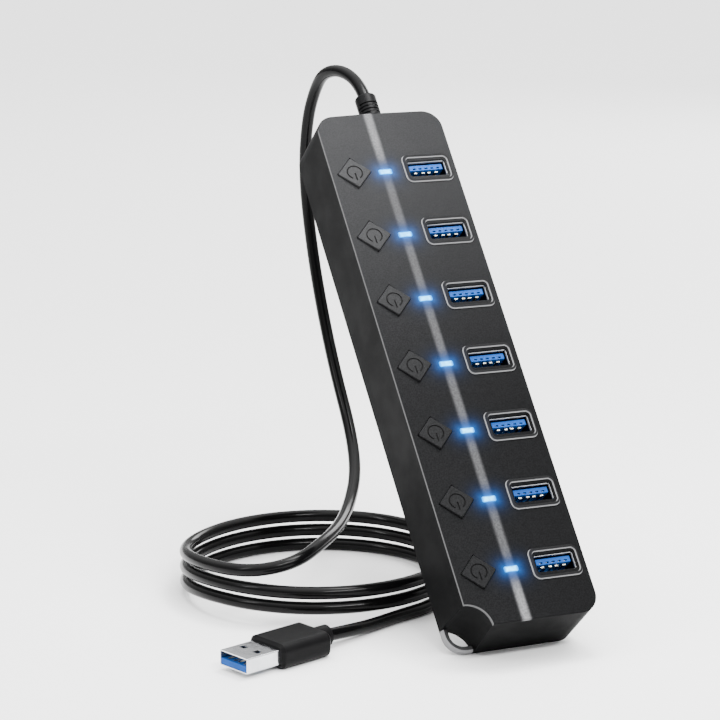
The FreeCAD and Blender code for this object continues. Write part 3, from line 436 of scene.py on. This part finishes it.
def symbol_mask(shader, across, along):
    """One in the engraved ring and stroke of a button, zero beside them."""
    right = shader.math("SUBTRACT", across, BUTTON_X)
    up = row_offset(shader, along)
    aside = shader.math("ABSOLUTE", right)
    from_ring = shader.math("ABSOLUTE", shader.math("SUBTRACT", shader.distance(right, up), RING_RADIUS))
    ring = shader.ramp(from_ring, *LINE_SIDE, first=1.0, last=0.0)
    # The ring is open in a wedge round the stroke.
    open_side = shader.ramp(shader.math("ADD", up, shader.product(aside, 1.88)), -0.1 * MM, 0.1 * MM)
    from_middle = shader.math("ABSOLUTE", shader.math("SUBTRACT", up, STROKE_MIDDLE))
    stroke = shader.product(shader.ramp(aside, *LINE_SIDE, first=1.0, last=0.0),
                            shader.ramp(from_middle, *STROKE_END, first=1.0, last=0.0))
    return shader.math("MAXIMUM", shader.product(ring, open_side), stroke)


def make_button_material():
    """The face's colour with its painted shading, a little paler, with a dark symbol."""
    shader = moulded("button", (0.0105, 0.0106, 0.011), 0.45, depth=0.012 * MM, IOR=1.1)
    across, along, _ = hub_coordinates(shader)
    tone = shader.scaled(face_grain_and_painted_shade(shader, across, along), 1.22)
    shader.link(shader.mix(symbol_mask(shader, across, along), tone, SYMBOL_TONE),
                shader.bsdf.inputs["Base Color"])
    return shader


def make_window_material():
    """A lit window: nearly white in the middle and blue at its edges."""
    shader = Shader("light_window", (0.0, 0.1, 0.4), 0.4, IOR=1.1)
    across, along, _ = hub_coordinates(shader)
    offsets = (shader.math("SUBTRACT", across, LIGHT_X), window_offset(shader, along))
    shares = [shader.math("DIVIDE", shader.math("ABSOLUTE", offset), half)
              for offset, half in zip(offsets, (WINDOW_HALF_WIDTH, WINDOW_HALF_HEIGHT))]
    edge = shader.ramp(shader.math("MAXIMUM", *shares), 0.5, 1.0)
    shader.link(shader.mix(edge, WINDOW_CORE, WINDOW_RIM), shader.bsdf.inputs["Emission Color"])
    cloud = shader.ramp(shader.noise(1.2 * MM, detail=2.0), *PATCHES, first=2.8, last=4.8)
    dimmed = shader.ramp(edge, 0.0, 1.0, first=1.0, last=0.3)
    shader.link(shader.product(cloud, dimmed), shader.bsdf.inputs["Emission Strength"])
    shader.tone(0.05, 1 * MM)
    return shader


dress(make_button_material(), *each_row("button_cap"))
dress(make_window_material(), *each_row("light_pipe"))


# --------------------------------------------------------------------------------------
# Cord, metal and the parts inside
# --------------------------------------------------------------------------------------
def metal(name, color, roughness, amount, size):
    """Plated metal with faint patches of tone."""
    shader = Shader(name, color, roughness, Metallic=1.0)
    shader.tone(amount, size)
    return shader


def make_socket_steel():
    """Plating painted dark with shade deeper inside the sockets, and pale and rougher at their rims."""
    inside, rim_gain = 0.28, 0.3
    shader = Shader("socket_steel", (0.62, 0.63, 0.65), inside, Metallic=1.0)
    rim = shader.ramp(hub_coordinates(shader)[2], 19.3 * MM, 20.2 * MM)
    # Painted shade: the plating darkens deeper inside each socket.
    color = shader.mix(rim, (0.03, 0.035, 0.05), shader.tone(0.06, 2 * MM))
    shader.link(color, shader.bsdf.inputs["Base Color"])
    roughness = shader.math("ADD", shader.product(rim, rim_gain), inside)
    shader.link(roughness, shader.bsdf.inputs["Roughness"])
    return shader


rubber = moulded("jacket", (0.002, 0.002, 0.0021), 0.17, grain=0.4 * MM, depth=0.001 * MM, IOR=1.19)
dress(rubber, cord)
overmould = moulded("overmould", (0.004, 0.004, 0.0042), 0.36,
                    grain=0.3 * MM, depth=0.008 * MM, IOR=1.13)
dress(overmould, "strain_relief", "plug_grip")
blue = moulded("blue_nylon", (0.001, 0.052, 0.24), 0.45,
               grain=0.15 * MM, depth=0.004 * MM, IOR=1.2)
dress(blue, "plug_insulator", *each_row("port_tongue"))

plug_steel = metal("plug_steel", (0.6, 0.61, 0.63), 0.2, 0.12, 5 * MM)
plug_steel.wear(0.06, 1.2 * MM)
dress(plug_steel, "plug_shell")
dress(make_socket_steel(), *each_row("port_shell"))
gold = metal("contact_gold", (0.86, 0.83, 0.68), 0.25, 0.1, 0.6 * MM)
dress(gold, "port_contacts", "plug_contacts")
dress(metal("crystal_can", (0.7, 0.7, 0.71), 0.25, 0.05, 1 * MM), "crystals")
dress(metal("screw_steel", (0.1, 0.1, 0.1), 0.35, 0.1, 0.8 * MM), "housing_screws")

nylon = moulded("black_nylon", (0.02, 0.02, 0.02), 0.5)
dress(nylon, "hub_controllers", *each_row("switch_case"))
dress(moulded("acetal", (0.6, 0.6, 0.57), 0.4), *each_row("switch_plunger"))
dress(moulded("solder_mask", (0.01, 0.1, 0.035), 0.3), "main_board")
dress(moulded("sleeve", (0.015, 0.02, 0.07), 0.3), "capacitors")
dress(moulded("led_body", (0.75, 0.76, 0.7), 0.3), "indicator_leds")


# --------------------------------------------------------------------------------------
# Floor and light
# --------------------------------------------------------------------------------------
FLOOR_REACH = 40.0
FLOOR_GAP = 0.1 * MM
SKY_HORIZON, SKY_OVERHEAD, SKY_STEEPNESS = 0.5, 6.2, 2.5
# Name, place, target, width and height in metres, and power in watts.
LAMPS = (
    ("face", (0.09, -0.74, 0.75), (0.0, 0.0, 0.08), (0.7, 0.06), 13.0),
    ("streak", (0.33, -0.1, 0.95), (-0.03, 0.03, 0.0), (0.2, 0.05), 2.6),
    ("crown", (0.03, 0.0, 0.28), (0.0, 0.06, 0.14), (0.1, 0.1), 0.8),
    ("rim", (-0.82, 0.0, 0.6), (0.0, 0.0, 0.08), (0.1, 0.4), 2.4),
    ("back", (0.7, 0.75, 0.45), (0.0, 0.0, 0.07), (0.4, 0.4), 4.0),
)


def make_floor():
    """A wide pale floor just under the part."""
    data = bpy.data.meshes.new("floor")
    corners = [(x * FLOOR_REACH, y * FLOOR_REACH, 0) for x, y in ((-1, -1), (1, -1), (1, 1), (-1, 1))]
    data.from_pydata(corners, [], [(0, 1, 2, 3)])
    floor = bpy.data.objects.new("floor", data)
    floor.location.z = -FLOOR_GAP
    bpy.context.scene.collection.objects.link(floor)
    pale = Shader("floor", (0.9, 0.9, 0.9), 0.6)
    floor.data.materials.append(pale.material)


def make_sky():
    """A white sky, bright overhead and dim towards the horizon."""
    world = bpy.data.worlds.new("studio")
    world.use_nodes = True
    nodes, links = world.node_tree.nodes, world.node_tree.links
    direction = nodes.new("ShaderNodeTexCoord")
    height = nodes.new("ShaderNodeSeparateXYZ")
    steep = nodes.new("ShaderNodeMath")
    steep.operation = "POWER"
    steep.inputs[1].default_value = SKY_STEEPNESS
    brightness = nodes.new("ShaderNodeMapRange")
    brightness.inputs["To Min"].default_value = SKY_HORIZON
    brightness.inputs["To Max"].default_value = SKY_OVERHEAD
    background = nodes["Background"]
    background.inputs["Color"].default_value = (1, 1, 1, 1)
    links.new(direction.outputs["Generated"], height.inputs[0])
    links.new(height.outputs["Z"], steep.inputs[0])
    links.new(steep.outputs[0], brightness.inputs["Value"])
    links.new(brightness.outputs[0], background.inputs["Strength"])
    bpy.context.scene.world = world


def area_light(name, place, target, size, power):
    """A rectangular lamp that faces its target."""
    data = bpy.data.lights.new(name, "AREA")
    data.shape = "RECTANGLE"
    data.size, data.size_y = size
    data.energy = power
    light = bpy.data.objects.new(name, data)
    light.location = place
    light.rotation_euler = (Vector(target) - Vector(place)).to_track_quat("-Z", "Y").to_euler()
    bpy.context.scene.collection.objects.link(light)


make_floor()
make_sky()
for lamp in LAMPS:
    area_light(*lamp)
